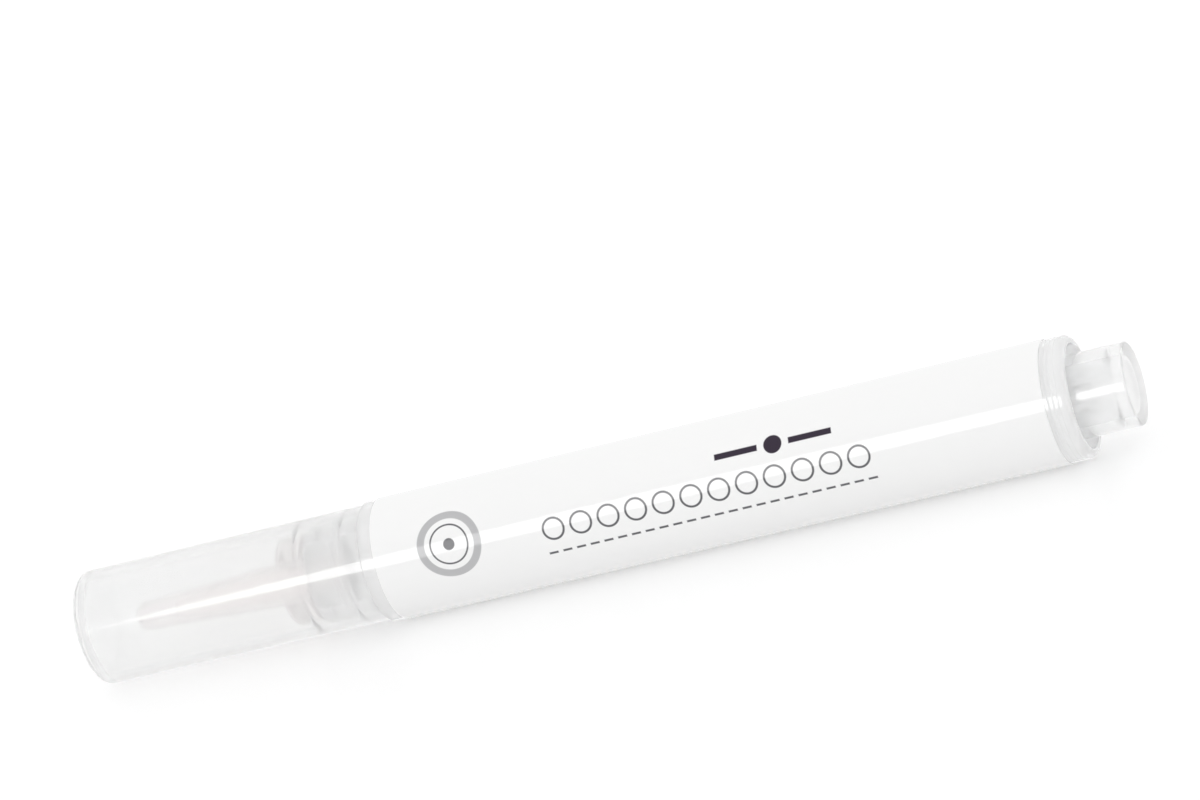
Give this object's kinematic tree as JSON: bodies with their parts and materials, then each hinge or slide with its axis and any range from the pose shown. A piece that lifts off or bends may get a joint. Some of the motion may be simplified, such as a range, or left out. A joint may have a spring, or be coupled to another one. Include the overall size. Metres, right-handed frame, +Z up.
{
  "type": "nail remover click pen",
  "caption": "Click pen that feeds nail remover oil: clear pull-off cap over a slit silicone tip, labelled clear barrel with a screw piston, and a sprung push button that works a ratchet drive.",
  "frame": {"origin": "on the surface the pen lies on, below the middle of its length", "axes": "+X along the pen from the cap to the push button, +Z up, +Y to the far side"},
  "size_m": [0.13, 0.0146, 0.0145],
  "materials": {
    "cap_clear": "clear moulded, polished",
    "neck_clear": "clear moulded",
    "barrel_clear": "clear moulded, polished",
    "button_clear": "clear moulded, slightly hazy",
    "collar_clear": "clear moulded",
    "label_film": "white film, glossy",
    "silicone": "translucent silicone, satin",
    "piston_white": "soft moulded, waxy",
    "moulded_white": "moulded, satin",
    "spring_steel": "drawn wire"
  },
  "bodies": {
    "barrel_body": {"barrel": "barrel_clear", "label_sleeve": "label_film", "nozzle_seat": "neck_clear", "applicator_tip": "silicone", "spindle_nut": "moulded_white", "return_spring": "spring_steel", "cam_sleeve": "moulded_white", "rear_collar": "collar_clear"},
    "cap_body": {"cap": "cap_clear"},
    "button_body": {"push_button": "button_clear", "cam_pusher": "moulded_white"},
    "rotor_body": {"drive_rotor": "moulded_white"},
    "piston_body": {"piston": "piston_white"},
    "spindle_body": {"screw_spindle": "moulded_white"}
  },
  "joints": [
    {"name": "cap_pull", "type": "slide", "parent": "barrel_body", "child": "cap_body", "axis": [-1, 0, 0], "range_m": [0, 0.045]},
    {"name": "button_press", "type": "slide", "parent": "barrel_body", "child": "button_body", "axis": [-1, 0, 0], "range_m": [0, 0.0022], "stiffness_N_per_m": 600, "springref_m": -0.002, "deforming": ["return_spring"]},
    {"name": "piston_advance", "type": "slide", "parent": "barrel_body", "child": "piston_body", "axis": [-1, 0, 0], "range_m": [0, 0.03]},
    {"name": "drive_spin", "type": "hinge", "parent": "button_body", "child": "rotor_body", "pos_m": [0.03, 0, 0.00726], "axis": [-1, 0, 0], "range_deg": [0, 3600]},
    {"name": "spindle_spin", "type": "hinge", "parent": "piston_body", "child": "spindle_body", "pos_m": [0.03, 0, 0.00726], "axis": [-1, 0, 0], "range_deg": [0, 3600]}
  ],
  "couplings": [
    {"joint": "drive_spin", "follows": "piston_advance", "rad_per_m": 2094.4},
    {"joint": "spindle_spin", "follows": "piston_advance", "rad_per_m": 2094.4}
  ]
}
